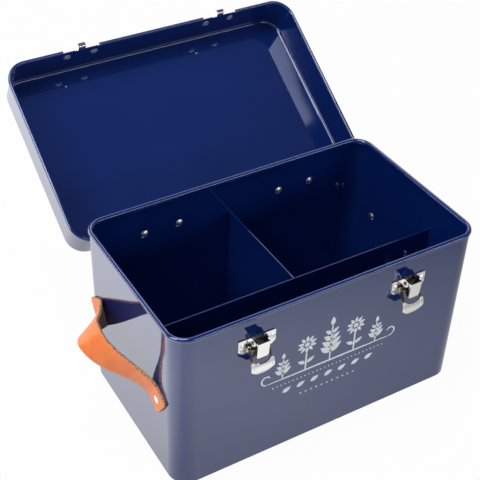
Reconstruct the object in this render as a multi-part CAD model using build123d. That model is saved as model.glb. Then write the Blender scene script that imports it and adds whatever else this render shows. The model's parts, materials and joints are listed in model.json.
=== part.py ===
from build123d import *
import math
import os

# A painted steel box for seed packets: a tub with a rolled rim and fixed dividers, a deep lid on two
# pin hinges, two draw latches on the front and a leather strap on each end wall.
# X runs along the front, to the right; Y runs from the front to the back; Z is up. The origin is the
# middle of the tub's underside. The lid stands open, against the stops of its hinges.

# ---- tub ----
TUB_LENGTH = 322.5
TUB_DEPTH = 189.0
TUB_CORNER_R = 19.0
SHEET = 0.8
TUB_RIM_Z = 185.9           # centre of the rolled rim
TUB_BEAD_R = 2.5
TUB_BEAD_PROUD = 1.25       # how far the rim stands out past the wall
PAN_HEIGHT = 12.0           # upturned edge of the base pan, inside the wall
PAN_EDGE_R = 3.5
CURL_GAP = 40.0             # degrees left open between a rim's free edge and the sheet it came from
TUB_CURL_OPEN_AT = 235.0    # where the tub's rim is left open: inward and down

# ---- dividers ----
DIVIDER_DROP = 38.9         # from the rim's centre to the dividers' tops
LONG_DIVIDER_Y = -30.5      # front face
CROSS_DIVIDER_X = -0.8      # left face
LONG_FLANGE = 8.0
CROSS_FLANGE = 7.0
HEM = 5.0                   # folded top edge of a divider
HEM_ROUND = 0.95            # share of the sheet that the fold's corners take
DIVIDER_CLEARANCE = 0.2     # over the pan's edge and floor

# ---- lid, closed ----
LID_CLEARANCE = 2.6         # between the tub's rim and the lid's skirt
LID_OVERLAP = 13.9          # from the tub's rim down to the lid's rolled rim, centre to centre
LID_HEIGHT = 38.9           # from the centre of that rim to the top
LID_CORNER_R = 20.4
LID_EDGE_R = 3.0
LID_BEAD_R = 1.7
LID_OPEN_ANGLE = 145.9
NOTCH_MARGIN = 1.5          # the rim is cut away this far past each hinge leaf and catch plate

# ---- hinges ----
HINGE_X = 78.0
HINGE_LENGTH = 50.0
LEAF = 1.2
LEAF_HEIGHT = 22.0
LEAF_CORNER_R = 4.0
HINGE_PIN_DROP = 19.75      # from the centre of the tub's rim
MIDDLE_KNUCKLE = 20.0
KNUCKLE_GAP = 0.3
RUNNING_CLEARANCE = 0.05
HINGE_RIVET_PITCH = 38.6
HINGE_RIVET_DROP = 15.15    # from the pin to the rivets, on either leaf
STOP_REACH = 3.0            # the stop lug's length past the knuckle
STOP_THICKNESS = 1.2
STOP_GAP = 0.05

# ---- rivets ----
RIVET_R = 1.6
DOME_R = 4.3                # domed head inside the box
DOME_HEIGHT = 1.7
HEAD_R = 3.5                # low head on a hinge leaf or a latch plate
HEAD_HEIGHT = 1.3
PIN_HEAD = 0.6              # how far a pin's head stands out, along it and round it
DRILL = 5.0                 # through any sheet or strap from either side

# ---- latches, all drops with the lever and the loop hanging and the lid closed ----
LATCH_X = 82.0
PLATE = 1.0
LATCH_RIVET_PITCH = 30.5
BASE_WIDTH = 38.0
BASE_DROP = 8.0             # from the centre of the lid's rim to the plate's top
BASE_EAR = 16.0             # height of the ears
BASE_CLIP = 3.7
TONGUE_HALF_TOP = 10.5
TONGUE_HALF_LOW = 5.5
TONGUE_DROP = 5.6           # below the ears
BASE_RIVET_DROP = 7.5       # from the plate's top
WINDOW_DROP = 3.5           # from the plate's top
WINDOW_HEIGHT = 10.5
LEVER_PIN_OUT = 5.0
LEVER_PIN_DROP = 2.0        # from the plate's top
LEVER_PIN_R = 1.3
CHEEK_R = 4.0
CHEEK_ROOT = 6.0
LEVER_WIDTH = 12.2
LEVER_OUT_TOP = 12.4        # outer face of the thumb plate, which leans out at the top
LEVER_OUT_LOW = 10.8
LEVER_RISE = 2.8            # above its pin
LEVER_LENGTH = 18.0
LEVER_EYE_R = 2.4
LEVER_TIP_R = 2.5
SIDE_GAP = 0.35             # between the lever and a cheek
LOOP_PIN_OUT = 4.0
LOOP_PIN_DROP = 8.5         # from the lever's pin
LOOP_PIN_R = 1.1
LOOP_EYE_R = 2.3
LOOP_INSIDE = 18.0          # between the loop's legs
BILL_WIDTH = 24.0
BILL_THICKNESS = 1.2
BILL_CURVE_R = 16.0
BILL_OUT = 10.0             # how far from the wall the ears and the tip of the bill hang
BILL_DROP = 10.5            # from the loop's pin to the top of the ears
BILL_HEIGHT = 16.0          # from the ears to the tip
BILL_EDGE_DEPTH = 3.2       # of the arc that bears on the hook, between the ears
BILL_SLANT = 7.0            # height of the part whose sides slant in
BILL_TIP = 3.5              # half the width of the tip
BILL_CORNER_R = 2.0
LOOP_SWING = 138.0          # from hanging to standing up over the hook
CATCH_WIDTH = 38.0
CATCH_HEIGHT = 16.0
CATCH_CLIP = 3.5
CATCH_RIVET_RISE = 8.9      # above the lid's rim
CATCH_FOOT = 1.0            # from the rim's centre up to the plate's ears
HOOK_WIDTH = 8.0
HOOK_CLEARANCE = 0.3
HOOK_ROOM = 1.1             # from the lifted bill's edge to the lip
HOOK_LIP = 2.6              # the lip's height above the trough
HOOK_BEND_R = 1.0

# ---- straps ----
STRAP_WIDTH = 27.0
STRAP_THICKNESS = 3.0
STRAP_BOW = 35.5            # how far it stands out
STRAP_BOW_Y = 1.0           # where it stands out furthest
STRAP_BOW_POWERS = (1.75, 1.25)     # of the cosine that its front and back halves follow
STRAP_FLAT_Y = 56.4         # from here outwards the ends lie against the wall
STRAP_END_Y = 71.0
STRAP_RIVET_Y = 60.6
STRAP_DROP = 52.9           # from the centre of the tub's rim to the crest
STRAP_TOP_Y = 4.0
STRAP_FALL_FRONT = 0.69     # its slope down to either end
STRAP_FALL_BACK = 0.62
STRAP_CREST_R = 8.0
STRAP_LEAN = 47.0           # it leans back so that its face looks up and out
STRAP_LEAN_Y = 14.0         # where it leans most
STRAP_LEAN_POWERS = (2.5, 1.0)
STRAP_SPANS = 12
STRAP_RIVET_R = 1.8
STRAP_HEAD_R = 4.2
STRAP_CORNER_R = 3.0        # of the cut ends

# ---- worked out from the sizes above ----
TUB_X = TUB_LENGTH / 2
TUB_Y = TUB_DEPTH / 2
DIVIDER_TOP = TUB_RIM_Z - DIVIDER_DROP
LID_GROWTH = TUB_BEAD_PROUD + LID_CLEARANCE + SHEET
LID_X = TUB_X + LID_GROWTH
LID_Y = TUB_Y + LID_GROWTH
LID_RIM_Z = TUB_RIM_Z - LID_OVERLAP
LID_TOP = LID_RIM_Z + LID_HEIGHT
KNUCKLE_R = (LID_GROWTH + LEAF) / 2
HINGE_PIN_Y = TUB_Y + KNUCKLE_R
HINGE_PIN_R = KNUCKLE_R - LEAF
HINGE_PIN_Z = TUB_RIM_Z - HINGE_PIN_DROP
CHEEK_INNER = LEVER_WIDTH / 2 + SIDE_GAP
CHEEK_OUTER = CHEEK_INNER + PLATE
LEG_OUTER = LOOP_INSIDE / 2 + PLATE
BASE_TOP = LID_RIM_Z - BASE_DROP
BASE_RIVET_Z = BASE_TOP - BASE_RIVET_DROP
LEVER_PIN_Z = BASE_TOP - LEVER_PIN_DROP
LEVER_TOP = LEVER_PIN_Z + LEVER_RISE
LEVER_BOTTOM = LEVER_TOP - LEVER_LENGTH
LOOP_PIN_Z = LEVER_PIN_Z - LOOP_PIN_DROP
BILL_ROOT = LOOP_PIN_Z - BILL_DROP
BILL_TOP = BILL_ROOT - BILL_EDGE_DEPTH
BILL_BOTTOM = BILL_ROOT - BILL_HEIGHT
BILL_SIDE = BILL_BOTTOM + BILL_SLANT
LEVER_PIN = (LEVER_PIN_OUT, LEVER_PIN_Z)
LOOP_PIN = (LOOP_PIN_OUT, LOOP_PIN_Z)
LATCH_RIVET_SPOTS = [s * LATCH_X + t * LATCH_RIVET_PITCH / 2 for s in (-1, 1) for t in (-1, 1)]
HINGE_RIVET_SPOTS = [s * HINGE_X + t * HINGE_RIVET_PITCH / 2 for s in (-1, 1) for t in (-1, 1)]
CATCH_RIVET_Z = LID_RIM_Z + CATCH_RIVET_RISE
STRAP_TOP_Z = TUB_RIM_Z - STRAP_DROP
SIDES = {"left": -1, "right": 1}


# ---- helpers ----
def slab(half_x, half_y, corner_r, low, high):
    outline = Plane.XY.offset(low) * RectangleRounded(2 * half_x, 2 * half_y, corner_r)
    return extrude(outline, amount=high - low)


def pan(half_x, half_y, corner_r, edge_r, height):
    """A pressed pan, standing open side up on z = 0."""
    outer = slab(half_x, half_y, corner_r, 0, height)
    outer = fillet(outer.edges().group_by(Axis.Z)[0], edge_r)
    inner = slab(half_x - SHEET, half_y - SHEET, corner_r - SHEET, SHEET, height)
    inner = fillet(inner.edges().group_by(Axis.Z)[0], edge_r - SHEET)
    return outer - inner


def curl_profile(radius, centre, gap_middle):
    """A sheet rolled into a ring that is left open at one angle, in the plane outward by up."""
    reach = 3 * radius

    def ray(angle):
        a = math.radians(angle)
        return (reach * math.cos(a), reach * math.sin(a))

    low, high = gap_middle - CURL_GAP / 2, gap_middle + CURL_GAP / 2
    opening = make_face(Polyline((0, 0), ray(low), ray(high), close=True))
    return Pos(centre, 0) * (Circle(radius) - Circle(radius - SHEET) - opening)


def rim(profile, half_x, half_y, corner_r, height):
    """Carries a profile round a rounded rectangle: one quarter, then its mirror images."""
    straight_x, straight_y = half_x - corner_r, half_y - corner_r
    back = Plane((0, half_y, height), x_dir=(0, 1, 0), z_dir=(1, 0, 0))
    right = Plane((half_x, straight_y, height), x_dir=(1, 0, 0), z_dir=(0, -1, 0))
    bend = Plane((straight_x, half_y, height), x_dir=(0, 1, 0), z_dir=(1, 0, 0))
    quarter = extrude(back * profile, amount=straight_x)
    quarter += revolve(bend * profile, Axis((straight_x, straight_y, 0), (0, 0, -1)), 90)
    quarter += extrude(right * profile, amount=straight_y)
    half = quarter + mirror(quarter, Plane.YZ)
    return half + mirror(half, Plane.XZ)


def front_plane(out):
    """A plane facing forward, this far in front of the tub's front wall; local x is X, y is Z."""
    return Plane((0, -TUB_Y - out, 0), x_dir=(1, 0, 0), z_dir=(0, -1, 0))


def back_plane(y):
    return Plane((0, y, 0), x_dir=(-1, 0, 0), z_dir=(0, 1, 0))


def side_extrusion(profile, low, high):
    """Extrudes a profile drawn as distance out from the front wall by height, from x low to high."""
    plane = Plane((high, -TUB_Y, 0), x_dir=(0, -1, 0), z_dir=(-1, 0, 0))
    return extrude(plane * profile, amount=high - low)


def both_sides(shape):
    return shape + mirror(shape, Plane.YZ)


def crossbar(radius, out_z, half_length):
    """A round bar along X, centred on x = 0, at (distance out from the front wall, height)."""
    out, z = out_z
    return Pos(0, -TUB_Y - out, z) * Rot(0, 90, 0) * Cylinder(radius, 2 * half_length)


def disc(radius, centre):
    return Pos(*centre) * Circle(radius)


def dome(radius, height):
    """A spherical cap standing on z = 0."""
    ball_r = (radius**2 + height**2) / (2 * height)
    ball = Pos(0, 0, height - ball_r) * Sphere(ball_r)
    return ball & Pos(0, 0, height / 2) * Cylinder(radius, height)


def rivet(shank_r, grip, head_r, head_height, tail_r, tail_height):
    """Head up: the grip runs from z = -grip to 0, the tail's dome hangs below it."""
    shank = Pos(0, 0, -grip / 2) * Cylinder(shank_r, grip)
    tail = Pos(0, 0, -grip) * Rot(180, 0, 0) * dome(tail_r, tail_height)
    return shank + dome(head_r, head_height) + tail


def rivet_hole(radius):
    return Cylinder(radius, 2 * DRILL)


def facing(x, y, z, direction):
    return Plane((x, y, z), z_dir=direction)


def open_lid(shape):
    return shape.rotate(Axis((0, HINGE_PIN_Y, HINGE_PIN_Z), (1, 0, 0)), -LID_OPEN_ANGLE)


def hinge_bar(radius, length):
    return Pos(0, HINGE_PIN_Y, HINGE_PIN_Z) * Rot(0, 90, 0) * Cylinder(radius, length)


def save(shape, name):
    shape.label = name
    export_step(shape, f"parts/{name}.step")


# ---- tub ----
def tub_wall():
    # the wall runs up into the middle of the rolled rim's sheet
    ring_r = TUB_BEAD_R - SHEET / 2
    ring_centre = TUB_BEAD_PROUD - TUB_BEAD_R
    top = TUB_RIM_Z - math.sqrt(ring_r**2 - (SHEET / 2 + ring_centre) ** 2)
    wall = slab(TUB_X, TUB_Y, TUB_CORNER_R, PAN_EDGE_R, top)
    wall -= slab(TUB_X - SHEET, TUB_Y - SHEET, TUB_CORNER_R - SHEET, PAN_EDGE_R, top)
    curl = curl_profile(TUB_BEAD_R, ring_centre, TUB_CURL_OPEN_AT)
    wall += rim(curl, TUB_X, TUB_Y, TUB_CORNER_R, TUB_RIM_Z)
    for x in LATCH_RIVET_SPOTS:
        wall -= facing(x, -TUB_Y, BASE_RIVET_Z, (0, -1, 0)) * rivet_hole(RIVET_R)
    for x in HINGE_RIVET_SPOTS:
        wall -= facing(x, TUB_Y, HINGE_PIN_Z - HINGE_RIVET_DROP, (0, 1, 0)) * rivet_hole(RIVET_R)
    for side in (-1, 1):
        for y in (-STRAP_RIVET_Y, STRAP_RIVET_Y):
            wall -= facing(side * TUB_X, y, strap_height(y), (side, 0, 0)) * rivet_hole(STRAP_RIVET_R)
    return wall


def tub_base():
    return pan(TUB_X - SHEET, TUB_Y - SHEET, TUB_CORNER_R - SHEET, PAN_EDGE_R, PAN_HEIGHT)


# ---- dividers ----
def sheet_box(x0, x1, y0, y1, z0, z1):
    return Pos((x0 + x1) / 2, (y0 + y1) / 2, (z0 + z1) / 2) * Box(x1 - x0, y1 - y0, z1 - z0)


def hem(panel, axis):
    """Rounds the two top edges that run along an axis."""
    top = panel.edges().filter_by(axis).group_by(Axis.Z)[-1]
    return fillet(top, SHEET * HEM_ROUND)


def long_divider():
    end = TUB_X - SHEET
    front, back = LONG_DIVIDER_Y, LONG_DIVIDER_Y + SHEET
    floor = SHEET + DIVIDER_CLEARANCE
    over_pan = PAN_HEIGHT + DIVIDER_CLEARANCE
    low_end = end - SHEET - PAN_EDGE_R
    folded = sheet_box(-end, end, front, back + SHEET, DIVIDER_TOP - HEM, DIVIDER_TOP)
    divider = hem(folded, Axis.X)
    divider += sheet_box(-end, end, front, back, over_pan, DIVIDER_TOP - HEM)
    divider += sheet_box(-low_end, low_end, front, back, floor, over_pan)
    for side in (-1, 1):
        low, high = sorted((side * end, side * (end - SHEET)))
        divider += sheet_box(low, high, front, front + LONG_FLANGE, over_pan, DIVIDER_TOP)
    return divider


def cross_divider():
    left, right = CROSS_DIVIDER_X, CROSS_DIVIDER_X + SHEET
    front, back = LONG_DIVIDER_Y + 2 * SHEET, TUB_Y - SHEET
    floor = SHEET + DIVIDER_CLEARANCE
    over_pan = PAN_HEIGHT + DIVIDER_CLEARANCE
    low_back = back - SHEET - PAN_EDGE_R
    low_front = LONG_DIVIDER_Y + SHEET
    under_hem = DIVIDER_TOP - HEM - DIVIDER_CLEARANCE
    folded = sheet_box(left - SHEET, right, front, back, DIVIDER_TOP - HEM, DIVIDER_TOP)
    divider = hem(folded, Axis.Y)
    divider += sheet_box(left, right, low_front, back, over_pan, DIVIDER_TOP - HEM)
    divider += sheet_box(left, right, low_front, low_back, floor, over_pan)
    divider += sheet_box(left - CROSS_FLANGE, left, back - SHEET, back, over_pan, DIVIDER_TOP)
    divider += sheet_box(left - CROSS_FLANGE, left, low_front, low_front + SHEET, over_pan, under_hem)
    return divider


# ---- lid ----
def lid_shell():
    shell = pan(LID_X, LID_Y, LID_CORNER_R, LID_EDGE_R, LID_HEIGHT)
    shell = Pos(0, 0, LID_TOP) * Rot(180, 0, 0) * shell
    # the rim rolls outward from the skirt's lower edge and stops short of it
    curl = rim(curl_profile(LID_BEAD_R, LID_BEAD_R - SHEET, 180 - CURL_GAP / 2), LID_X, LID_Y,
               LID_CORNER_R, LID_RIM_Z)
    notch_deep = 4 * LID_BEAD_R
    for side in (-1, 1):
        hinge_notch = Box(HINGE_LENGTH + 2 * NOTCH_MARGIN, notch_deep, notch_deep)
        catch_notch = Box(CATCH_WIDTH + 2 * NOTCH_MARGIN, notch_deep, notch_deep)
        curl -= Pos(side * HINGE_X, LID_Y, LID_RIM_Z) * hinge_notch
        curl -= Pos(side * LATCH_X, -LID_Y, LID_RIM_Z) * catch_notch
    shell += curl
    for x in LATCH_RIVET_SPOTS:
        shell -= facing(x, -LID_Y, CATCH_RIVET_Z, (0, -1, 0)) * rivet_hole(RIVET_R)
    for x in HINGE_RIVET_SPOTS:
        shell -= facing(x, LID_Y, HINGE_PIN_Z + HINGE_RIVET_DROP, (0, 1, 0)) * rivet_hole(RIVET_R)
    return open_lid(shell)


# ---- hinges, drawn about x = 0 ----
def leaf_plate(y, low, high, rounded):
    outline = Pos(0, (low + high) / 2) * Rectangle(HINGE_LENGTH, high - low)
    corners = outline.vertices().group_by(Axis.Y)[rounded]
    return extrude(back_plane(y) * fillet(corners, LEAF_CORNER_R), amount=LEAF)


def leaf_holes(y, z):
    holes = [facing(t * HINGE_RIVET_PITCH / 2, y, z, (0, 1, 0)) * rivet_hole(RIVET_R)
             for t in (-1, 1)]
    return holes[0] + holes[1]


def hinge_tub_leaf():
    leaf = leaf_plate(TUB_Y, HINGE_PIN_Z - LEAF_HEIGHT, HINGE_PIN_Z, 0)
    leaf += hinge_bar(KNUCKLE_R, HINGE_LENGTH)
    room = MIDDLE_KNUCKLE + 2 * KNUCKLE_GAP
    reach = KNUCKLE_R + KNUCKLE_GAP
    leaf -= Pos(0, HINGE_PIN_Y, HINGE_PIN_Z) * Box(room, 2 * reach, 2 * reach)
    leaf -= hinge_bar(HINGE_PIN_R, HINGE_LENGTH)
    return leaf - leaf_holes(TUB_Y, HINGE_PIN_Z - HINGE_RIVET_DROP)


def hinge_lid_leaf():
    leaf = leaf_plate(LID_Y, HINGE_PIN_Z, HINGE_PIN_Z + LEAF_HEIGHT, -1)
    reach = KNUCKLE_R + KNUCKLE_GAP
    outer = (HINGE_LENGTH - MIDDLE_KNUCKLE) / 2
    for side in (-1, 1):
        x = side * (MIDDLE_KNUCKLE + outer) / 2
        leaf -= Pos(x, HINGE_PIN_Y, HINGE_PIN_Z) * Box(outer, 2 * reach, 2 * reach)
    leaf += hinge_bar(KNUCKLE_R, MIDDLE_KNUCKLE)
    leaf -= leaf_holes(LID_Y, HINGE_PIN_Z + HINGE_RIVET_DROP)
    leaf = open_lid(leaf)
    # the stop lug lies along the tub's leaf when the lid is open
    face = TUB_Y + LEAF + STOP_GAP
    leaf += sheet_box(-MIDDLE_KNUCKLE / 2, MIDDLE_KNUCKLE / 2, face, face + STOP_THICKNESS,
                      HINGE_PIN_Z - KNUCKLE_R - STOP_REACH, HINGE_PIN_Z - HINGE_PIN_R / 2)
    return leaf - hinge_bar(HINGE_PIN_R + RUNNING_CLEARANCE, HINGE_LENGTH)


def hinge_pin():
    pin = hinge_bar(HINGE_PIN_R, HINGE_LENGTH)
    for side in (-1, 1):
        x = side * (HINGE_LENGTH + PIN_HEAD) / 2
        pin += Pos(x, 0, 0) * hinge_bar(HINGE_PIN_R + PIN_HEAD, PIN_HEAD)
    return pin


# ---- latches, drawn about x = 0 ----
def plate_holes(out, z):
    holes = [facing(t * LATCH_RIVET_PITCH / 2, -TUB_Y - out, z, (0, -1, 0)) * rivet_hole(RIVET_R)
             for t in (-1, 1)]
    return holes[0] + holes[1]


def latch_base():
    half, ears = BASE_WIDTH / 2, BASE_TOP - BASE_EAR
    tongue = ears - TONGUE_DROP
    right = [(half, BASE_TOP), (half, ears + BASE_CLIP), (half - BASE_CLIP, ears),
             (TONGUE_HALF_TOP, ears), (TONGUE_HALF_LOW, tongue)]
    left = [(-x, z) for x, z in reversed(right)]
    outline = make_face(Polyline(*right, *left, close=True))
    outline = fillet(outline.vertices(), PLATE)
    window = RectangleRounded(2 * CHEEK_INNER, WINDOW_HEIGHT, PLATE)
    outline -= Pos(0, BASE_TOP - WINDOW_DROP - WINDOW_HEIGHT / 2) * window
    base = extrude(front_plane(0) * outline, amount=PLATE)
    root = Pos(PLATE / 2, BASE_TOP - CHEEK_ROOT / 2) * Rectangle(PLATE, CHEEK_ROOT)
    cheek = make_hull((root + disc(CHEEK_R, LEVER_PIN)).edges())
    base += both_sides(side_extrusion(cheek, CHEEK_INNER, CHEEK_OUTER))
    base -= crossbar(LEVER_PIN_R, LEVER_PIN, BASE_WIDTH)
    return base - plate_holes(PLATE, BASE_RIVET_Z)


def latch_lever():
    plate = make_face(Polyline(
        (LEVER_OUT_TOP, LEVER_TOP), (LEVER_OUT_LOW, LEVER_BOTTOM),
        (LEVER_OUT_LOW - PLATE, LEVER_BOTTOM), (LEVER_OUT_TOP - PLATE, LEVER_TOP), close=True,
    ))
    eyes = disc(LEVER_EYE_R, LEVER_PIN) + disc(LOOP_EYE_R, LOOP_PIN)
    side = make_hull((eyes + plate).edges())
    half = LEVER_WIDTH / 2
    cheeks = side_extrusion(side, -half, half) - side_extrusion(side, PLATE - half, half - PLATE)
    lever = cheeks + side_extrusion(plate, -half, half)
    tall = 2 * LEVER_LENGTH
    front = Pos(0, LEVER_BOTTOM + tall / 2) * Rectangle(LEVER_WIDTH, tall)
    front = fillet(front.vertices().group_by(Axis.Y)[0], LEVER_TIP_R)
    lever = lever & extrude(front_plane(0) * front, amount=2 * LEVER_OUT_TOP)
    lever -= crossbar(LEVER_PIN_R + RUNNING_CLEARANCE, LEVER_PIN, half)
    return lever - crossbar(LOOP_PIN_R, LOOP_PIN, half)


def headed_pin(radius, out_z, half_length):
    pin = crossbar(radius, out_z, half_length)
    head = crossbar(radius + PIN_HEAD, out_z, PIN_HEAD / 2)
    for side in (-1, 1):
        pin += Pos(side * (half_length + PIN_HEAD / 2), 0, 0) * head
    return pin


def bill_out(z, offset):
    """How far out the hanging bill is at a height: its middle, or a surface at an offset from it."""
    half_height = BILL_HEIGHT / 2
    centre_out = BILL_OUT - math.sqrt(BILL_CURVE_R**2 - half_height**2)
    fall = z - (BILL_BOTTOM + half_height)
    return centre_out + math.sqrt((BILL_CURVE_R + offset) ** 2 - fall**2)


def bill_edge_r():
    """Radius of the arc, cut up to the ears, whose lowest part bears on the hook."""
    deep = BILL_EDGE_DEPTH
    return ((LOOP_INSIDE / 2) ** 2 + deep**2) / (2 * deep)


def latch_loop():
    # a stirrup: a curved bill cut to a boat shape, hung from two broad legs
    middle = (BILL_ROOT + BILL_BOTTOM) / 2
    centre = (bill_out(middle, 0) - BILL_CURVE_R, middle)
    shell = disc(BILL_CURVE_R + BILL_THICKNESS / 2, centre)
    shell -= disc(BILL_CURVE_R - BILL_THICKNESS / 2, centre)
    half = BILL_WIDTH / 2
    curved = side_extrusion(shell, -half, half)
    right = [(half, BILL_ROOT), (half, BILL_SIDE), (BILL_TIP, BILL_BOTTOM)]
    left = [(-x, z) for x, z in reversed(right)]
    outline = make_face(Polyline(*right, *left, close=True))
    outline = fillet(outline.vertices(), BILL_CORNER_R)
    outline -= Pos(0, BILL_TOP + bill_edge_r()) * Circle(bill_edge_r())
    bill = curved & extrude(front_plane(LOOP_PIN_OUT) * outline, amount=BILL_CURVE_R)
    # each leg runs from its eye down into the bill
    ends = [disc(BILL_THICKNESS, (bill_out(z, 0), z)) for z in (BILL_ROOT - PLATE, BILL_SIDE + PLATE)]
    leg = make_hull((disc(LOOP_EYE_R, LOOP_PIN) + ends[0] + ends[1]).edges())
    inner = LOOP_INSIDE / 2
    loop = bill + both_sides(side_extrusion(leg, inner, LEG_OUTER))
    return loop - crossbar(LOOP_PIN_R + RUNNING_CLEARANCE, LOOP_PIN, half)


def swung_up(point):
    """Where a point of the hanging loop, given as (out, z), stands when the latch is closed."""
    a = math.radians(LOOP_SWING)
    out, z = point[0] - LOOP_PIN_OUT, point[1] - LOOP_PIN_Z
    turned_out = out * math.cos(a) - z * math.sin(a)
    turned_z = out * math.sin(a) + z * math.cos(a)
    return (LOOP_PIN_OUT + turned_out, LOOP_PIN_Z + turned_z)


def catch_plate():
    low = LID_RIM_Z + CATCH_FOOT
    half = CATCH_WIDTH / 2
    outline = Pos(0, low + CATCH_HEIGHT / 2) * Rectangle(CATCH_WIDTH, CATCH_HEIGHT)
    outline = chamfer(outline.vertices().group_by(Axis.Y)[-1], CATCH_CLIP)
    plate = extrude(front_plane(LID_GROWTH) * outline, amount=PLATE)
    # the bill's edge is an arc: the trough clears it at the hook's sides, where it comes lowest
    surface = -BILL_THICKNESS / 2
    rise = bill_edge_r() - math.sqrt(bill_edge_r() ** 2 - (HOOK_WIDTH / 2) ** 2)
    side_z = BILL_TOP + rise
    trough = swung_up((bill_out(side_z, surface), side_z))[1] - HOOK_CLEARANCE - PLATE / 2
    lip = swung_up((bill_out(BILL_TOP, surface), BILL_TOP))[0] + HOOK_ROOM + PLATE / 2
    plate_middle = LID_GROWTH + PLATE / 2
    path = FilletPolyline(
        (plate_middle, low + PLATE), (plate_middle, trough), (lip, trough),
        (lip, trough + PLATE / 2 + HOOK_LIP), radius=HOOK_BEND_R,
    )
    hook = trace(path, PLATE)
    plate += side_extrusion(hook, -HOOK_WIDTH / 2, HOOK_WIDTH / 2)
    plate -= plate_holes(LID_GROWTH + PLATE, CATCH_RIVET_Z)
    return plate


# ---- straps, drawn for the left wall with x as the distance out from it ----
def swell(y, middle, powers):
    """1 at the middle and 0 where the strap's flat ends begin."""
    if abs(y) >= STRAP_FLAT_Y:
        return 0
    front, back = powers
    if y < middle:
        return math.cos(math.pi / 2 * (middle - y) / (STRAP_FLAT_Y + middle)) ** front
    return math.cos(math.pi / 2 * (y - middle) / (STRAP_FLAT_Y - middle)) ** back


def strap_out(y):
    return STRAP_THICKNESS / 2 + STRAP_BOW * swell(y, STRAP_BOW_Y, STRAP_BOW_POWERS)


def strap_height(y):
    fall = STRAP_FALL_FRONT if y < STRAP_TOP_Y else STRAP_FALL_BACK
    return STRAP_TOP_Z - fall * (math.hypot(y - STRAP_TOP_Y, STRAP_CREST_R) - STRAP_CREST_R)


def strap_section(y):
    """The strap's cross-section at y, square to its run and leaning back near the middle."""
    step = 0.01
    centre = Vector(strap_out(y), y, strap_height(y))
    ahead = Vector(strap_out(y + step), y + step, strap_height(y + step))
    behind = Vector(strap_out(y - step), y - step, strap_height(y - step))
    run = (ahead - behind).normalized()
    outward = (Vector(1, 0, 0) - run * run.X).normalized()
    down = run.cross(outward)
    lean = math.sin(math.radians(STRAP_LEAN)) * swell(y, STRAP_LEAN_Y, STRAP_LEAN_POWERS) / outward.X
    width = down * math.sqrt(1 - lean**2) + outward * lean
    return Plane(centre, x_dir=width, z_dir=run) * Rectangle(STRAP_WIDTH, STRAP_THICKNESS)


def strap_end(side):
    flat, tip = side * STRAP_FLAT_Y, side * STRAP_END_Y
    end = loft([strap_section(y) for y in sorted((flat, tip))])
    tip_face = end.faces().sort_by(Axis.Y, reverse=side > 0)[0]
    return fillet(tip_face.edges().filter_by(Axis.X), STRAP_CORNER_R)


def strap():
    reach = STRAP_FLAT_Y
    ys = [-reach + 2 * reach * i / STRAP_SPANS for i in range(STRAP_SPANS + 1)]
    shape = loft([strap_section(y) for y in ys])
    for side in (-1, 1):
        shape += strap_end(side)
        y = side * STRAP_RIVET_Y
        shape -= facing(0, y, strap_height(y), (1, 0, 0)) * rivet_hole(STRAP_RIVET_R)
    return shape


def strap_on(side, shape):
    """Moves a strap, or its rivet, from its own drawing to the wall on one side."""
    if side > 0:
        return Pos(TUB_X, 0, 0) * shape
    return Pos(-TUB_X, 0, 0) * mirror(shape, Plane.YZ)


# ---- write the pieces ----
def group(shapes):
    return Compound(children=[s.solid() for s in shapes])


os.makedirs("parts", exist_ok=True)

save(tub_wall(), "tub_wall")
save(tub_base(), "tub_base")
save(long_divider(), "long_divider")
save(cross_divider(), "cross_divider")
save(lid_shell(), "lid_shell")

tub_leaf, lid_leaf, base, lever, loop, catch = (
    hinge_tub_leaf(), hinge_lid_leaf(), latch_base(), latch_lever(), latch_loop(), open_lid(catch_plate())
)
loop_pin = headed_pin(LOOP_PIN_R, LOOP_PIN, LEG_OUTER)
for name, side in SIDES.items():
    save(Pos(side * HINGE_X, 0, 0) * tub_leaf, f"hinge_tub_leaf_{name}")
    save(Pos(side * HINGE_X, 0, 0) * lid_leaf, f"hinge_lid_leaf_{name}")
    save(Pos(side * LATCH_X, 0, 0) * base, f"latch_base_{name}")
    save(Pos(side * LATCH_X, 0, 0) * lever, f"latch_lever_{name}")
    save(Pos(side * LATCH_X, 0, 0) * loop, f"latch_loop_{name}")
    save(Pos(side * LATCH_X, 0, 0) * loop_pin, f"loop_pin_{name}")
    save(Pos(side * LATCH_X, 0, 0) * catch, f"catch_plate_{name}")
    save(strap_on(side, strap()), f"strap_{name}")

pin = hinge_pin()
save(group([Pos(side * HINGE_X, 0, 0) * pin for side in (-1, 1)]), "hinge_pins")
lever_pin = headed_pin(LEVER_PIN_R, LEVER_PIN, CHEEK_OUTER)
save(group([Pos(side * LATCH_X, 0, 0) * lever_pin for side in (-1, 1)]), "lever_pins")

leaf_rivet = rivet(RIVET_R, LEAF + SHEET, HEAD_R, HEAD_HEIGHT, DOME_R, DOME_HEIGHT)
tub_spots = [facing(x, TUB_Y + LEAF, HINGE_PIN_Z - HINGE_RIVET_DROP, (0, 1, 0)) for x in HINGE_RIVET_SPOTS]
lid_spots = [facing(x, LID_Y + LEAF, HINGE_PIN_Z + HINGE_RIVET_DROP, (0, 1, 0)) for x in HINGE_RIVET_SPOTS]
save(group([spot * leaf_rivet for spot in tub_spots]), "hinge_tub_rivets")
save(group([open_lid(spot * leaf_rivet) for spot in lid_spots]), "hinge_lid_rivets")

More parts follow.
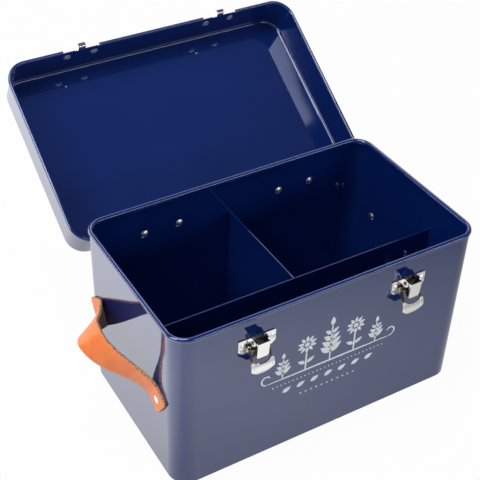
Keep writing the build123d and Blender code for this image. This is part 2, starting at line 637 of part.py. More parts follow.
plate_rivet = rivet(RIVET_R, PLATE + SHEET, HEAD_R, HEAD_HEIGHT, DOME_R, DOME_HEIGHT)
base_spots = [facing(x, -TUB_Y - PLATE, BASE_RIVET_Z, (0, -1, 0)) for x in LATCH_RIVET_SPOTS]
catch_spots = [facing(x, -LID_Y - PLATE, CATCH_RIVET_Z, (0, -1, 0)) for x in LATCH_RIVET_SPOTS]
save(group([spot * plate_rivet for spot in base_spots]), "latch_base_rivets")
save(group([open_lid(spot * plate_rivet) for spot in catch_spots]), "catch_rivets")

strap_rivet = rivet(
    STRAP_RIVET_R, STRAP_THICKNESS + SHEET, STRAP_HEAD_R, HEAD_HEIGHT, DOME_R, DOME_HEIGHT
)
strap_spots = [(side, facing(STRAP_THICKNESS, y, strap_height(y), (1, 0, 0)))
               for side in (-1, 1) for y in (-STRAP_RIVET_Y, STRAP_RIVET_Y)]
save(group([strap_on(side, spot * strap_rivet) for side, spot in strap_spots]), "strap_rivets")
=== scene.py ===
import json
import math

import bmesh
import bpy
from mathutils import Matrix, Vector


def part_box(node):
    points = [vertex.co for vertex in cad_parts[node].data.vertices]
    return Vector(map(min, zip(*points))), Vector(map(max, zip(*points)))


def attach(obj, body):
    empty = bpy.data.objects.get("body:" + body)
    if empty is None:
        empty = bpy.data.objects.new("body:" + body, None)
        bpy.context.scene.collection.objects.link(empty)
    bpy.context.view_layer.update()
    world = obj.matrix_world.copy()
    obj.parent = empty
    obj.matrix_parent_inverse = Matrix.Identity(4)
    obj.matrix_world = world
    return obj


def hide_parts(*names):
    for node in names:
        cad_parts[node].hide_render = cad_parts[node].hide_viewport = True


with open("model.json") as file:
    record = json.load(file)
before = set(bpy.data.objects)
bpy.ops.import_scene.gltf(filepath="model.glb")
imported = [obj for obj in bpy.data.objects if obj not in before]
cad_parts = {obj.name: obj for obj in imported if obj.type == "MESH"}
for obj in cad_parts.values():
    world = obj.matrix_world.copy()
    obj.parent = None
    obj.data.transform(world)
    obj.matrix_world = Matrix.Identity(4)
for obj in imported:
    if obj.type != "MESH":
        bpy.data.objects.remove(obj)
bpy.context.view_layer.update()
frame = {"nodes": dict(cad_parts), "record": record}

MM = 0.001
WHITE = (1.0, 1.0, 1.0, 1.0)

# ---- camera, as in the photograph of 480 by 480 pixels ----
FRAME_PX = 480
FOCAL_PX = 1038.3
CENTRE_PX = (215.3, 241.1)
AZIMUTH, ELEVATION, ROLL = -29.9, 38.4, 0.87        # degrees
TARGET = Vector((-3.4, 117.0, 90.5)) * MM
DISTANCE = 1117.7 * MM
SENSOR_MM = 36.0

# ---- the walls that the extra pieces sit on ----
WALL_LO, WALL_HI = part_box("tub_base")
SHEET = 0.8 * MM
WALL_X = WALL_HI.x + SHEET
FRONT_Y = WALL_LO.y - SHEET

# ---- paint ----
NAVY_DEEP, NAVY_FULL = (0.002, 0.0155, 0.118), (0.003, 0.020, 0.145)
NAVY_GLARE = (0.45, 0.58, 1.0, 1.0)                 # tint of what the paint itself mirrors
ENAMEL_IOR = 1.6
ENAMEL_GLOSS = (0.045, 0.075)
SHEET_WAVE, ORANGE_PEEL = 0.16 * MM, 0.006 * MM     # heights of the bumps

# ---- plate and rivets ----
NICKEL_DULL, NICKEL_CLEAR = (0.90, 0.88, 0.83), (0.98, 0.97, 0.94)
NICKEL_HAZE = (0.10, 0.22)
LATCH_BRIGHT = (0.98, 0.965, 0.93, 1.0)
LATCH_HAZE = (0.12, 0.26)
# painted shade for the latches by the wall, from near black to grey-brown
LATCH_PAINTED_SHADE = ((0.35, (0.05, 0.04, 0.03)), (0.6, (0.22, 0.18, 0.13)), (0.75, (0.6, 0.56, 0.5)))
RIVET_DULL, RIVET_CLEAR = (0.74, 0.74, 0.75), (0.90, 0.90, 0.90)
RIVET_HAZE = (0.28, 0.42)
ROLLING_MARKS, TUMBLING_MARKS = 0.01 * MM, 0.02 * MM

# painted shade: the latches' plating is painted dark brown near the wall, where shade falls and dark things
# are mirrored, and it turns bright between these places
LEVER_SHADED_Y, LEVER_BRIGHT_Y = FRONT_Y - 8.5 * MM, FRONT_Y - 10.5 * MM
LOOP_SHADED_Z, LOOP_BRIGHT_Z = 144.5 * MM, 142.5 * MM

# ---- leather and print ----
FACE_MOTTLE = ((0.25, (0.82, 0.165, 0.026)), (0.5, (0.92, 0.215, 0.040)), (0.78, (0.95, 0.30, 0.085)))
FACE_GLOSS = (0.30, 0.48)
LEATHER_IOR = 1.5
PORE_DEPTH, CREASE_DEPTH = 0.12 * MM, 0.3 * MM
EDGE_FIBRES = ((0.36, (0.10, 0.04, 0.02)), (0.5, (0.52, 0.24, 0.11)), (0.62, (0.88, 0.58, 0.36)))
FLESH_DARK, FLESH_PALE = (0.16, 0.055, 0.025), (0.34, 0.14, 0.06)
FIBRE_DEPTH, NAP_DEPTH = 0.5 * MM, 0.4 * MM
INK_THIN, INK_FULL = (0.3, (0.86, 0.93, 0.97)), (0.6, (0.93, 0.97, 0.98))


# ---- material helpers ----
NOISE_LOW, NOISE_HIGH = 0.3, 0.7                    # most of a noise's values lie between these


def feed(tree, place, value):
    """Link an input to a socket, or set it to a plain value."""
    if isinstance(value, bpy.types.NodeSocket):
        tree.links.new(value, place)
    else:
        place.default_value = value


def give(tree, made, **values):
    """Set a node's settings and inputs by name, with _ for a space; sockets are linked."""
    for key, value in values.items():
        if hasattr(made, key):
            setattr(made, key, value)
        else:
            feed(tree, made.inputs[key.replace("_", " ")], value)
    return made


def node(tree, kind, **values):
    return give(tree, tree.nodes.new(kind), **values)


def new_material(name):
    """A material, its tree, its shader and the coordinates of the object that wears it."""
    mat = bpy.data.materials.new(name)
    mat.use_nodes = True
    tree = mat.node_tree
    return mat, tree, tree.nodes["Principled BSDF"], node(tree, "ShaderNodeTexCoord").outputs["Object"]


def cleared_tree(owner):
    """The emptied tree of a material or a world."""
    owner.use_nodes = True
    owner.node_tree.nodes.clear()
    return owner.node_tree


def noise(tree, where, scale, detail=2.0, roughness=0.5):
    made = node(tree, "ShaderNodeTexNoise", Vector=where, Scale=scale, Detail=detail, Roughness=roughness)
    return made.outputs["Fac"]


def remap(tree, value, low, high, to_low=0.0, to_high=1.0):
    places = {"From_Min": low, "From_Max": high, "To_Min": to_low, "To_Max": to_high}
    return node(tree, "ShaderNodeMapRange", Value=value, **places).outputs["Result"]


def roughness_between(tree, where, scale, detail, limits):
    """A roughness that wanders between two limits over the surface."""
    return remap(tree, noise(tree, where, scale, detail), NOISE_LOW, NOISE_HIGH, *limits)


def colours(tree, value, *stops):
    """A colour ramp from pairs of (place, colour)."""
    ramp = node(tree, "ShaderNodeValToRGB", Fac=value)
    elements = ramp.color_ramp.elements
    while len(elements) < len(stops):
        elements.new(0.5)
    for element, (place, colour) in zip(elements, stops):
        element.position = place
        element.color = (*colour, 1.0)
    return ramp.outputs["Color"]


def two_colours(tree, value, first, second):
    """From the first colour where a noise is low to the second where it is high."""
    return colours(tree, value, (NOISE_LOW, first), (NOISE_HIGH, second))


def grey(level):
    return (level, level, level)


def arithmetic(tree, operation, *terms):
    """A sum, product or the like of sockets and numbers."""
    made = node(tree, "ShaderNodeMath", operation=operation)
    for place, term in zip(made.inputs, terms):
        feed(tree, place, term)
    return made.outputs[0]


def mixed(tree, kind, factor, first, second):
    """The first of two numbers (FLOAT) or colours (RGBA) at factor 0, the second at factor 1."""
    made = node(tree, "ShaderNodeMix", data_type=kind)
    # the node's sockets share their names, so they are told apart by place
    at_first, at_second, at_result = {"FLOAT": (2, 3, 0), "RGBA": (6, 7, 2)}[kind]
    feed(tree, made.inputs[0], factor)
    feed(tree, made.inputs[at_first], first)
    feed(tree, made.inputs[at_second], second)
    return made.outputs[at_result]


def along_axis(tree, position, axis):
    """The X, Y or Z of a position."""
    split = node(tree, "ShaderNodeSeparateXYZ")
    feed(tree, split.inputs[0], position)
    return split.outputs[axis]


def bump(tree, height, distance, strength=1.0, under=None):
    """The shading normal of a relief, on top of the one under it if there is one."""
    made = node(tree, "ShaderNodeBump", Height=height, Distance=distance, Strength=strength)
    if under is not None:
        feed(tree, made.inputs["Normal"], under)
    return made.outputs["Normal"]


# ---- materials ----
def navy_paint():
    """Gloss enamel on thin sheet: deep blue, a hard clear surface and a trace of orange peel."""
    mat, tree, shader, where = new_material("navy_paint")
    wave = bump(tree, noise(tree, where, scale=12.0, detail=1.0), SHEET_WAVE)
    peel = bump(tree, noise(tree, where, scale=420.0), ORANGE_PEEL, under=wave)
    give(
        tree, shader,
        Base_Color=two_colours(tree, noise(tree, where, scale=9.0, detail=3.0), NAVY_DEEP, NAVY_FULL),
        Roughness=roughness_between(tree, where, scale=35.0, detail=4.0, limits=ENAMEL_GLOSS),
        IOR=ENAMEL_IOR, Specular_Tint=NAVY_GLARE, Normal=peel,
        Coat_Weight=1.0, Coat_IOR=ENAMEL_IOR, Coat_Roughness=0.03, Coat_Normal=peel,
    )
    return mat


def bright_nickel():
    """Plated pressings: nearly white, with faint rolling marks and a little haze."""
    mat, tree, shader, where = new_material("bright_nickel_plate")
    give(
        tree, shader, Metallic=1.0,
        Base_Color=two_colours(tree, noise(tree, where, scale=160.0, detail=3.0), NICKEL_DULL, NICKEL_CLEAR),
        Roughness=roughness_between(tree, where, scale=260.0, detail=4.0, limits=NICKEL_HAZE),
        Normal=bump(tree, noise(tree, where, scale=700.0), ROLLING_MARKS),
    )
    return mat


def latch_nickel(name, axis, shaded_at, bright_at):
    """The same plate on the small moving pieces, with painted shade: dark brown on the wall's side of two
    places, bright past the second.
    """
    mat, tree, shader, where = new_material(f"{name}_nickel_plate")
    out = remap(tree, along_axis(tree, where, axis), shaded_at, bright_at)
    # painted shade: dark browns that stand in for shade and dark reflections near the wall
    painted_shade = colours(tree, noise(tree, where, scale=420.0, detail=3.0, roughness=0.6), *LATCH_PAINTED_SHADE)
    give(
        tree, shader, Metallic=1.0,
        Base_Color=mixed(tree, "RGBA", out, painted_shade, LATCH_BRIGHT),
        Roughness=roughness_between(tree, where, scale=260.0, detail=4.0, limits=LATCH_HAZE),
        Normal=bump(tree, noise(tree, where, scale=700.0), ROLLING_MARKS),
    )
    return mat


def satin_rivets():
    """Tumbled rivet heads: softer than the plate round them."""
    mat, tree, shader, where = new_material("satin_rivets")
    give(
        tree, shader, Metallic=1.0,
        Base_Color=two_colours(tree, noise(tree, where, scale=300.0, detail=3.0), RIVET_DULL, RIVET_CLEAR),
        Roughness=roughness_between(tree, where, scale=500.0, detail=3.0, limits=RIVET_HAZE),
        Normal=bump(tree, noise(tree, where, scale=1200.0), TUMBLING_MARKS),
    )
    return mat


def leather_face():
    """The grain side: mottled tan, pores and fine creases."""
    mat, tree, shader, where = new_material("leather_face")
    pores = node(tree, "ShaderNodeTexVoronoi", Vector=where, Scale=900.0).outputs["Distance"]
    grain = bump(tree, pores, PORE_DEPTH, strength=0.6)
    creases = noise(tree, where, scale=240.0, detail=4.0, roughness=0.65)
    give(
        tree, shader, IOR=LEATHER_IOR,
        Base_Color=colours(tree, noise(tree, where, scale=60.0, detail=5.0, roughness=0.6), *FACE_MOTTLE),
        Roughness=roughness_between(tree, where, scale=400.0, detail=3.0, limits=FACE_GLOSS),
        Normal=bump(tree, creases, CREASE_DEPTH, strength=0.5, under=grain),
    )
    return mat


def leather_edge():
    """The cut edge: pale fibres with darker specks."""
    mat, tree, shader, where = new_material("leather_edge")
    fibres = noise(tree, where, scale=750.0, detail=4.0, roughness=0.7)
    give(
        tree, shader, Roughness=0.75,
        Base_Color=colours(tree, fibres, *EDGE_FIBRES),
        Normal=bump(tree, fibres, FIBRE_DEPTH, strength=0.8),
    )
    return mat


def leather_back():
    """The flesh side, rough and darker."""
    mat, tree, shader, where = new_material("leather_back")
    nap = noise(tree, where, scale=800.0, detail=5.0, roughness=0.7)
    give(
        tree, shader, Roughness=0.9, Sheen_Weight=0.3,
        Base_Color=two_colours(tree, nap, FLESH_DARK, FLESH_PALE),
        Normal=bump(tree, nap, NAP_DEPTH, strength=0.7),
    )
    return mat


def print_ink():
    """White ink under a clear coat, a little thinner in places."""
    mat, tree, shader, where = new_material("white_print")
    give(
        tree, shader, Roughness=0.3,
        Base_Color=colours(tree, noise(tree, where, scale=900.0, detail=3.0), INK_THIN, INK_FULL),
        Coat_Weight=1.0, Coat_IOR=ENAMEL_IOR, Coat_Roughness=0.05,
    )
    return mat


LEATHER = [leather_face(), leather_edge(), leather_back()]
FINISH = {"painted_steel": navy_paint(), "bright_nickel": bright_nickel(), "tan_leather": LEATHER[0]}
RIVETS = satin_rivets()
LEVER = latch_nickel("lever", "Y", LEVER_SHADED_Y, LEVER_BRIGHT_Y)
LOOP = latch_nickel("loop", "Z", LOOP_SHADED_Z, LOOP_BRIGHT_Z)


def finish_of(part):
    if part["node"].endswith("_rivets"):
        return RIVETS
    if part["node"].startswith(("latch_lever", "lever_pins")):
        return LEVER
    if part["node"].startswith(("latch_loop", "loop_pin")):
        return LOOP
    return FINISH[part["material_slot"]]


for part in frame["record"]["subparts"]:
    shape = frame["nodes"][part["node"]]
    shape.data.materials.clear()
    shape.data.materials.append(finish_of(part))


# ---- object helpers ----
def finished_mesh(bm, name, *materials):
    mesh = bpy.data.meshes.new(name)
    bm.to_mesh(mesh)
    bm.free()
    for mat in materials:
        mesh.materials.append(mat)
    return mesh


def new_object(name, data):
    made = bpy.data.objects.new(name, data)
    bpy.context.scene.collection.objects.link(made)
    return made


# ---- straps, drawn for the left wall; out is the distance from it, y runs to the back ----
STRAP_WIDTH = 28.4 * MM
STRAP_THICKNESS = 3.0 * MM
STRAP_BOW = 35.5 * MM                               # how far the middle stands off the wall
STRAP_BOW_Y = 1.0 * MM
STRAP_BOW_POWERS = (1.75, 1.25)                     # towards the front, towards the back
STRAP_FLAT_Y = 56.4 * MM                            # the riveted ends lie flat from here on
STRAP_TOP_Z = 133.0 * MM
STRAP_TOP_Y = 4.0 * MM
STRAP_FALL_FRONT, STRAP_FALL_BACK = 0.69, 0.62      # slopes from the crest down
STRAP_CREST_R = 8.0 * MM
STRAP_LEAN = math.radians(47)                       # how far the middle turns its face up
STRAP_LEAN_Y = 14.0 * MM
STRAP_LEAN_POWERS = (2.5, 1.0)
STRAP_END_FRONT, STRAP_END_BACK = 69.2 * MM, 74.0 * MM
STRAP_CORNER_R = 3.0 * MM
STRAP_STEPS, CORNER_STEPS, ACROSS_STEPS = 150, 6, 10

# the section, in shares of half the width and half the thickness
FACE, EDGE, FLESH = 0, 1, 2                         # places in LEATHER
FACE_SHARE = 0.955                                  # the rest of the width is the rounded edge
FACE_CROWN = 0.10
EDGE_ROUNDING = ((0.985, 0.82), (1.0, 0.45), (1.0, -0.45), (0.985, -0.82))


def swell(y, middle, powers):
    """1 at the middle and 0 where the strap's flat ends begin."""
    if abs(y) >= STRAP_FLAT_Y:
        return 0.0
    front, back = powers
    if y < middle:
        return math.cos(math.pi / 2 * (middle - y) / (STRAP_FLAT_Y + middle)) ** front
    return math.cos(math.pi / 2 * (y - middle) / (STRAP_FLAT_Y - middle)) ** back


def strap_point(y):
    out = STRAP_THICKNESS / 2 + STRAP_BOW * swell(y, STRAP_BOW_Y, STRAP_BOW_POWERS)
    fall = STRAP_FALL_FRONT if y < STRAP_TOP_Y else STRAP_FALL_BACK
    rise = math.hypot(y - STRAP_TOP_Y, STRAP_CREST_R) - STRAP_CREST_R
    return Vector((out, y, STRAP_TOP_Z - fall * rise))


def strap_frame(y):
    """The strap's middle, the direction across it (downward) and the direction out of its face."""
    step = 0.01 * MM
    run = (strap_point(y + step) - strap_point(y - step)).normalized()
    outward = (Vector((1, 0, 0)) - run * run.x).normalized()
    down = run.cross(outward)
    lean = math.sin(STRAP_LEAN) * swell(y, STRAP_LEAN_Y, STRAP_LEAN_POWERS) / outward.x
    across = down * math.sqrt(1 - lean**2) + outward * lean
    return strap_point(y), across, across.cross(run)


def section_outline():
    """A rounded bar as (across, out of the face, material), round from one edge of the face."""
    shares = [-1 + 2 * i / ACROSS_STEPS for i in range(ACROSS_STEPS + 1)]
    points = [(FACE_SHARE * t, 1.0 + FACE_CROWN * (1 - t * t), FACE) for t in shares]
    points += [(across, out, EDGE) for across, out in EDGE_ROUNDING]
    points += [(-FACE_SHARE * t, -1.0, FLESH) for t in shares]
    points += [(-across, -out, EDGE) for across, out in EDGE_ROUNDING]
    return points


def strap_stations():
    """Places along y, close together at both ends, where they make the rounded corners."""
    front, back, corner = -STRAP_END_FRONT, STRAP_END_BACK, STRAP_CORNER_R
    ends = [corner * (1 - math.cos(math.pi / 2 * i / CORNER_STEPS)) for i in range(CORNER_STEPS)]
    straight = back - front - 2 * corner
    middle = [front + corner + straight * i / STRAP_STEPS for i in range(STRAP_STEPS + 1)]
    return [front + e for e in ends] + middle + [back - e for e in reversed(ends)]


def strap_half_width(y):
    """Half the strap's width, less in the rounded corners of its ends."""
    inset = max(0.0, STRAP_CORNER_R - min(y + STRAP_END_FRONT, STRAP_END_BACK - y))
    return STRAP_WIDTH / 2 - (STRAP_CORNER_R - math.sqrt(max(STRAP_CORNER_R**2 - inset**2, 0)))


def strap_mesh(name):
    outline = section_outline()
    bm = bmesh.new()
    rings = []
    for y in strap_stations():
        centre, across, face = strap_frame(y)
        half = strap_half_width(y)
        rings.append([
            bm.verts.new(centre + across * (a * half) + face * (f * STRAP_THICKNESS / 2))
            for a, f, _ in outline
        ])
    count = len(outline)
    for r0, r1 in zip(rings, rings[1:]):
        for i in range(count):
            j = (i + 1) % count
            made = bm.faces.new((r0[i], r0[j], r1[j], r1[i]))
            kinds = {outline[i][2], outline[j][2]}
            made.material_index = EDGE if EDGE in kinds else kinds.pop()
            made.smooth = True
    for ring in (rings[0], rings[-1]):
        bm.faces.new(ring).material_index = EDGE
    bmesh.ops.recalc_face_normals(bm, faces=bm.faces)
    return finished_mesh(bm, name, *LEATHER)


def place_strap(side, sign):
    mesh = strap_mesh(f"strap_leather_{side}")
    for v in mesh.vertices:
        v.co = (sign * (WALL_X + v.co.x), v.co.y, v.co.z)
    if sign < 0:
        mesh.flip_normals()
    strap = new_object(f"strap_leather_{side}", mesh)
    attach(strap, "tub")
    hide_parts(f"strap_{side}")


place_strap("left", -1)
place_strap("right", 1)


# ---- print on the front: a garden bed, drawn on the wall in millimetres and degrees ----
INK = 0.05 * MM
INK_GAP = 0.02 * MM                                 # between the paint and the back of the print
DOT_SIDES, LEAF_STEPS = 20, 12
LEAF_BELLY = 0.8                                    # below 1 a leaf is widest nearer its root
STEM_WIDTH = 1.9

SPRIG_ANGLES = (38, 142)
SPRIG_FOOT, SPRIG_SPAN = 0.22, 0.70                 # where the pairs start and how far they run, in heights
SPRIG_TAPER = 0.5                                   # how much smaller the highest pairs are
SPRIG_LEAF_WIDTH = 0.46                             # share of the leaf's length
TIP_DROP, TIP_LENGTH, TIP_WIDTH = 1, 0.7, 0.34      # the last two as shares of the lowest leaf's length

# shares of the petals' reach
DAISY_EYE, PETAL_ROOT, PETAL_LENGTH, PETAL_WIDTH, DAISY_LEAF_WIDTH = 0.27, 0.36, 0.72, 0.34, 0.42
DAISY_LEAVES = ((-1, 150), (1, 30))                 # side and angle
DAISY_LEAF_FOOT, DAISY_LEAF_OUT = 0.25, 0.6         # a share of the height, and millimetres

SOIL_Z, SOIL_DROP = 96, 1.2
SOIL_HALF, SOIL_STEP, SOIL_WIDTH = 68, 4, 2.2
DAISY_X, END_SPRIG_X = 27, 52
SEEDS_EACH_SIDE, SEED_PITCH, SEED_SHIFT, SEED_LEAN = 3, 15.5, 4.2, 24
DOTTED_DROP, SEEDS_DROP, LOW_DOTTED_DROP = 9, 20, 31
CURL_STEPS, CURL_X, CURL_RISE, CURL_R = 16, 69, 5.3, 6.5
CURL_TURN, CURL_TIGHTENING = 1.35, 0.45             # half turns, and the share of its radius that it loses


def stroke(points, width, taper):
    """A band along points; its ends are narrower by a share of its width."""
    left, right = [], []
    last = len(points) - 1
    for i, p in enumerate(points):
        before, after = points[max(i - 1, 0)], points[min(i + 1, last)]
        dx, dz = after[0] - before[0], after[1] - before[1]
        length = math.hypot(dx, dz)
        t = abs(2 * i / last - 1)
        half = width / 2 * (1 - taper * t * t)
        left.append((p[0] - dz / length * half, p[1] + dx / length * half))
        right.append((p[0] + dz / length * half, p[1] - dx / length * half))
    return [left[i:i + 2] + [right[i + 1], right[i]] for i in range(last)]


def stem(x, foot, height, steps, taper):
    """An upright stroke of the plants' common width."""
    return stroke([(x, foot + height * i / steps) for i in range(steps + 1)], STEM_WIDTH, taper)


def leaf(root, angle, length, width):
    """A pointed leaf as one outline."""
    a = math.radians(angle)
    along, side = (math.cos(a), math.sin(a)), (-math.sin(a), math.cos(a))
    outline = []
    for way in (1, -1):
        for i in range(LEAF_STEPS):
            t = i / LEAF_STEPS if way > 0 else 1 - i / LEAF_STEPS
            w = way * width / 2 * math.sin(math.pi * t**LEAF_BELLY)
            outline.append((root[0] + along[0] * t * length + side[0] * w,
                            root[1] + along[1] * t * length + side[1] * w))
    return [outline]


def dot(x, z, r):
    turns = [math.tau * i / DOT_SIDES for i in range(DOT_SIDES)]
    return [[(x + r * math.cos(turn), z + r * math.sin(turn)) for turn in turns]]


def sprig(x, foot, height, pairs, size):
    """A stem with pairs of leaves that grow smaller towards the top, and a leaf at its tip."""
    shapes = stem(x, foot, height, steps=8, taper=0.35)
    for i in range(pairs):
        z = foot + height * (SPRIG_FOOT + SPRIG_SPAN * i / pairs)
        scale = size * (1 - SPRIG_TAPER * i / pairs)
        for angle in SPRIG_ANGLES:
            shapes += leaf((x, z), angle, length=scale, width=scale * SPRIG_LEAF_WIDTH)
    tip = (x, foot + height - TIP_DROP)
    return shapes + leaf(tip, 90, length=size * TIP_LENGTH, width=size * TIP_WIDTH)


def daisy(x, foot, height, petals, reach):
    """A stem with a round flower on top and two leaves low down."""
    centre = (x, foot + height)
    shapes = stem(x, foot, height - reach, steps=6, taper=0.2)
    shapes += dot(*centre, reach * DAISY_EYE)
    root_r = reach * PETAL_ROOT
    for i in range(petals):
        angle = 360 * (i + 0.5) / petals
        a = math.radians(angle)
        root = (centre[0] + root_r * math.cos(a), centre[1] + root_r * math.sin(a))
        shapes += leaf(root, angle, length=reach * PETAL_LENGTH, width=reach * PETAL_WIDTH)
    for side, angle in DAISY_LEAVES:
        root = (x + DAISY_LEAF_OUT * side, foot + height * DAISY_LEAF_FOOT)
        shapes += leaf(root, angle, length=reach, width=reach * DAISY_LEAF_WIDTH)
    return shapes


def bed_end(side):
    """A curled shoot that closes the bed on one side."""
    points = []
    for i in range(CURL_STEPS + 1):
        t = i / CURL_STEPS
        turn = math.pi * CURL_TURN * t
        r = CURL_R * (1 - CURL_TIGHTENING * t)
        points.append((side * (CURL_X + r * math.sin(turn)), SOIL_Z + CURL_RISE - r * math.cos(turn)))
    return stroke(points, width=1.8, taper=0.4)


def dotted_row(half_length, z, pitch, r):
    count = int(half_length / pitch)
    return [shape for i in range(-count, count + 1) for shape in dot(i * pitch, z, r)]


def bed_design():
    """A garden bed: five plants on a line of soil, a dotted row, sown seeds and a shorter dotted row."""
    shapes = sprig(0, SOIL_Z, height=44, pairs=4, size=15)
    for side in (-1, 1):
        shapes += daisy(side * DAISY_X, SOIL_Z, height=31, petals=10, reach=10)
        shapes += sprig(side * END_SPRIG_X, SOIL_Z, height=25, pairs=3, size=11)
        shapes += bed_end(side)
    soil = [(x, SOIL_Z - SOIL_DROP) for x in range(-SOIL_HALF, SOIL_HALF + 1, SOIL_STEP)]
    shapes += stroke(soil, SOIL_WIDTH, taper=0.6)
    shapes += dotted_row(66, SOIL_Z - DOTTED_DROP, pitch=4.4, r=0.75)
    for i in range(-SEEDS_EACH_SIDE, SEEDS_EACH_SIDE + 1):
        root = (i * SEED_PITCH - SEED_SHIFT, SOIL_Z - SEEDS_DROP)
        shapes += leaf(root, SEED_LEAN, length=10.0, width=5.4)
    return shapes + dotted_row(30, SOIL_Z - LOW_DOTTED_DROP, pitch=6.0, r=1.0)


def place_print():
    bm = bmesh.new()
    y = FRONT_Y - INK_GAP
    for outline in bed_design():
        front = [bm.verts.new((x * MM, y - INK, z * MM)) for x, z in outline]
        back = [bm.verts.new((x * MM, y, z * MM)) for x, z in outline]
        bm.faces.new(front)
        bm.faces.new(list(reversed(back)))
        for i in range(len(outline)):
            j = (i + 1) % len(outline)
            bm.faces.new((front[j], front[i], back[i], back[j]))
    bmesh.ops.recalc_face_normals(bm, faces=bm.faces)
    made = new_object("front_print", finished_mesh(bm, "front_print", print_ink()))
    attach(made, "tub")


place_print()


# ---- studio ----
FLOOR_HALF, FLOOR_Z = 6.0, -0.1 * MM
FLOOR_BOUNCE = 0.6              # how much of the lamps' light the floor throws back up
FLOOR_GLOW_SEEN = 0.97          # share of plain white in what the camera sees of it
FLOOR_GLOW_MIRRORED = 0.85      # share of its own glow in what glossy faces mirror of it
# painted light: for glossy faces the floor glows unevenly, brightest on the left and back and weaker in
# front
FLOOR_MIRRORED = 1.45           # strength of that glow where it is brightest, on the left
FLOOR_ACROSS = ((-0.8, 0.6, 0.0), -0.40, 0.20)      # direction in which the glow grows, from and to
FLOOR_PAINTED_LIGHT_LEVELS = ((0.0, 0.28), (0.55, 0.80), (0.79, 0.82), (0.88, 1.0))   # shares of its strength on that way
FLOOR_PAINTED_SHADOW = 0.60                # painted shadow: the glow's share at the foot of the walls
FLOOR_PAINTED_SHADOW_REACH = 0.13          # how far from the walls this painted shadow reaches

# the room's colours from the horizon (0.5) to the top (1): a bright band and a dark ceiling
ROOM = (
    (0.5, (0.95, 0.96, 1.0)), (0.56, (0.80, 0.83, 0.90)), (0.64, (0.10, 0.11, 0.14)),
    (1.0, (0.09, 0.10, 0.13)),
)

# place, aim, width and height in metres, power in watts
LAMPS = {
    "overhead": ((-0.30, 0.05, 1.7), (0, 0, 0.1), (0.7, 0.7), 11),
    "upper_left": ((-1.3, -0.1, 1.3), (-0.16, 0, 0.1), (0.7, 0.7), 12.5),
    "back": ((0.6, 1.3, 1.4), (0, 0, 0.15), (1.4, 0.9), 6),
    "strip_front_right": ((0.66, -1.45, 0.6), (0, 0, 0.15), (1.3, 0.2), 5.5),
    "strip_back_left": ((-1.04, 1.09, 0.5), (0, 0, 0.15), (1.3, 0.2), 5),
}


def floor_glow_strength(tree, is_mirrored):
    """1 for the camera; for glossy faces painted light that changes across the floor, with a painted shadow
    by the wall.
    """
    direction, start, end = FLOOR_ACROSS
    position = node(tree, "ShaderNodeNewGeometry").outputs["Position"]
    along = node(tree, "ShaderNodeVectorMath", operation="DOT_PRODUCT")
    feed(tree, along.inputs[0], position)
    feed(tree, along.inputs[1], direction)
    share = remap(tree, along.outputs["Value"], start, end)
    across = colours(tree, share, *((place, grey(level)) for place, level in FLOOR_PAINTED_LIGHT_LEVELS))
    past_left = arithmetic(tree, "MULTIPLY_ADD", along_axis(tree, position, "X"), -1.0, -WALL_X)
    past_front = arithmetic(tree, "MULTIPLY_ADD", along_axis(tree, position, "Y"), -1.0, FRONT_Y)
    distance = arithmetic(tree, "MAXIMUM", past_left, past_front)
    # painted shadow: the mirrored floor is darker near the foot of the walls
    painted_shadow = remap(tree, distance, 0.0, FLOOR_PAINTED_SHADOW_REACH, FLOOR_PAINTED_SHADOW, 1.0)
    both = arithmetic(tree, "MULTIPLY", across, painted_shadow)
    level = arithmetic(tree, "MULTIPLY", both, FLOOR_MIRRORED)
    return mixed(tree, "FLOAT", is_mirrored, 1.0, level)


def floor_material():
    """White to the camera and in reflections, with a little of the real shading for the shadow."""
    mat = bpy.data.materials.new("studio_floor")
    tree = cleared_tree(mat)
    path = node(tree, "ShaderNodeLightPath")
    matt = node(tree, "ShaderNodeBsdfDiffuse", Color=(*grey(FLOOR_BOUNCE), 1.0))
    strength = floor_glow_strength(tree, path.outputs["Is Glossy Ray"])
    glow = node(tree, "ShaderNodeEmission", Color=WHITE, Strength=strength)
    seen = arithmetic(tree, "MULTIPLY", path.outputs["Is Camera Ray"], FLOOR_GLOW_SEEN)
    mirrored = arithmetic(tree, "MULTIPLY", path.outputs["Is Glossy Ray"], FLOOR_GLOW_MIRRORED)
    both = node(tree, "ShaderNodeMixShader", Fac=arithmetic(tree, "MAXIMUM", seen, mirrored))
    feed(tree, both.inputs[1], matt.outputs[0])
    feed(tree, both.inputs[2], glow.outputs[0])
    node(tree, "ShaderNodeOutputMaterial", Surface=both.outputs[0])
    return mat


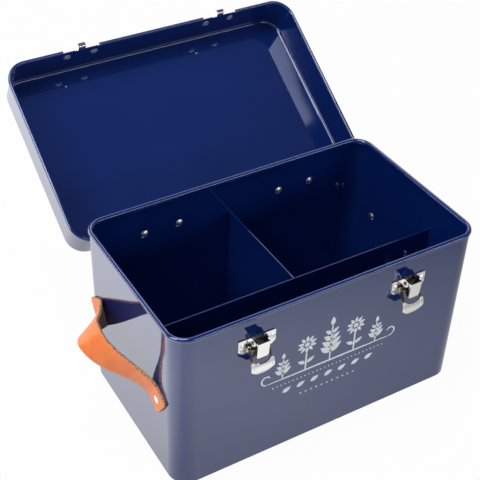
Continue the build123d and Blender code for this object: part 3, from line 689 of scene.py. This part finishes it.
def place_floor():
    bm = bmesh.new()
    corners = ((-1, -1), (1, -1), (1, 1), (-1, 1))
    bm.faces.new([bm.verts.new((x * FLOOR_HALF, y * FLOOR_HALF, FLOOR_Z)) for x, y in corners])
    floor = new_object("studio_floor", finished_mesh(bm, "studio_floor", floor_material()))


def place_world():
    """The room that the faces mirror; the camera itself sees plain white."""
    world = bpy.data.worlds.new("studio")
    bpy.context.scene.world = world
    tree = cleared_tree(world)
    where = node(tree, "ShaderNodeTexCoord").outputs["Generated"]
    room = colours(tree, remap(tree, along_axis(tree, where, "Z"), -1.0, 1.0), *ROOM)
    is_seen = node(tree, "ShaderNodeLightPath").outputs["Is Camera Ray"]
    light = node(tree, "ShaderNodeBackground", Color=mixed(tree, "RGBA", is_seen, room, WHITE), Strength=1.0)
    node(tree, "ShaderNodeOutputWorld", Surface=light.outputs[0])


def place_lamps():
    for name, (place, aim, (width, height), power) in LAMPS.items():
        lamp = bpy.data.lights.new(name, "AREA")
        lamp.shape = "RECTANGLE"
        lamp.size, lamp.size_y = width, height
        lamp.energy = power
        made = new_object(name, lamp)
        made.location = place
        made.rotation_euler = (Vector(aim) - Vector(place)).to_track_quat("-Z", "Y").to_euler()


def place_camera():
    a, e, r = (math.radians(x) for x in (AZIMUTH, ELEVATION, ROLL))
    back = Vector((math.sin(a) * math.cos(e), -math.cos(a) * math.cos(e), math.sin(e)))
    right = Vector((0, 0, 1)).cross(back).normalized()
    up = back.cross(right)
    right, up = math.cos(r) * right + math.sin(r) * up, math.cos(r) * up - math.sin(r) * right
    turn = Matrix((right, up, back)).transposed().to_4x4()
    lens = bpy.data.cameras.new("camera")
    lens.sensor_width = SENSOR_MM
    lens.lens = FOCAL_PX * SENSOR_MM / FRAME_PX
    lens.shift_x = (FRAME_PX / 2 - CENTRE_PX[0]) / FRAME_PX
    lens.shift_y = (CENTRE_PX[1] - FRAME_PX / 2) / FRAME_PX
    camera = new_object("camera", lens)
    camera.matrix_world = Matrix.Translation(TARGET + back * DISTANCE) @ turn
    bpy.context.scene.camera = camera


place_floor()
place_world()
place_lamps()
place_camera()
bpy.context.scene.view_settings.view_transform = "Standard"
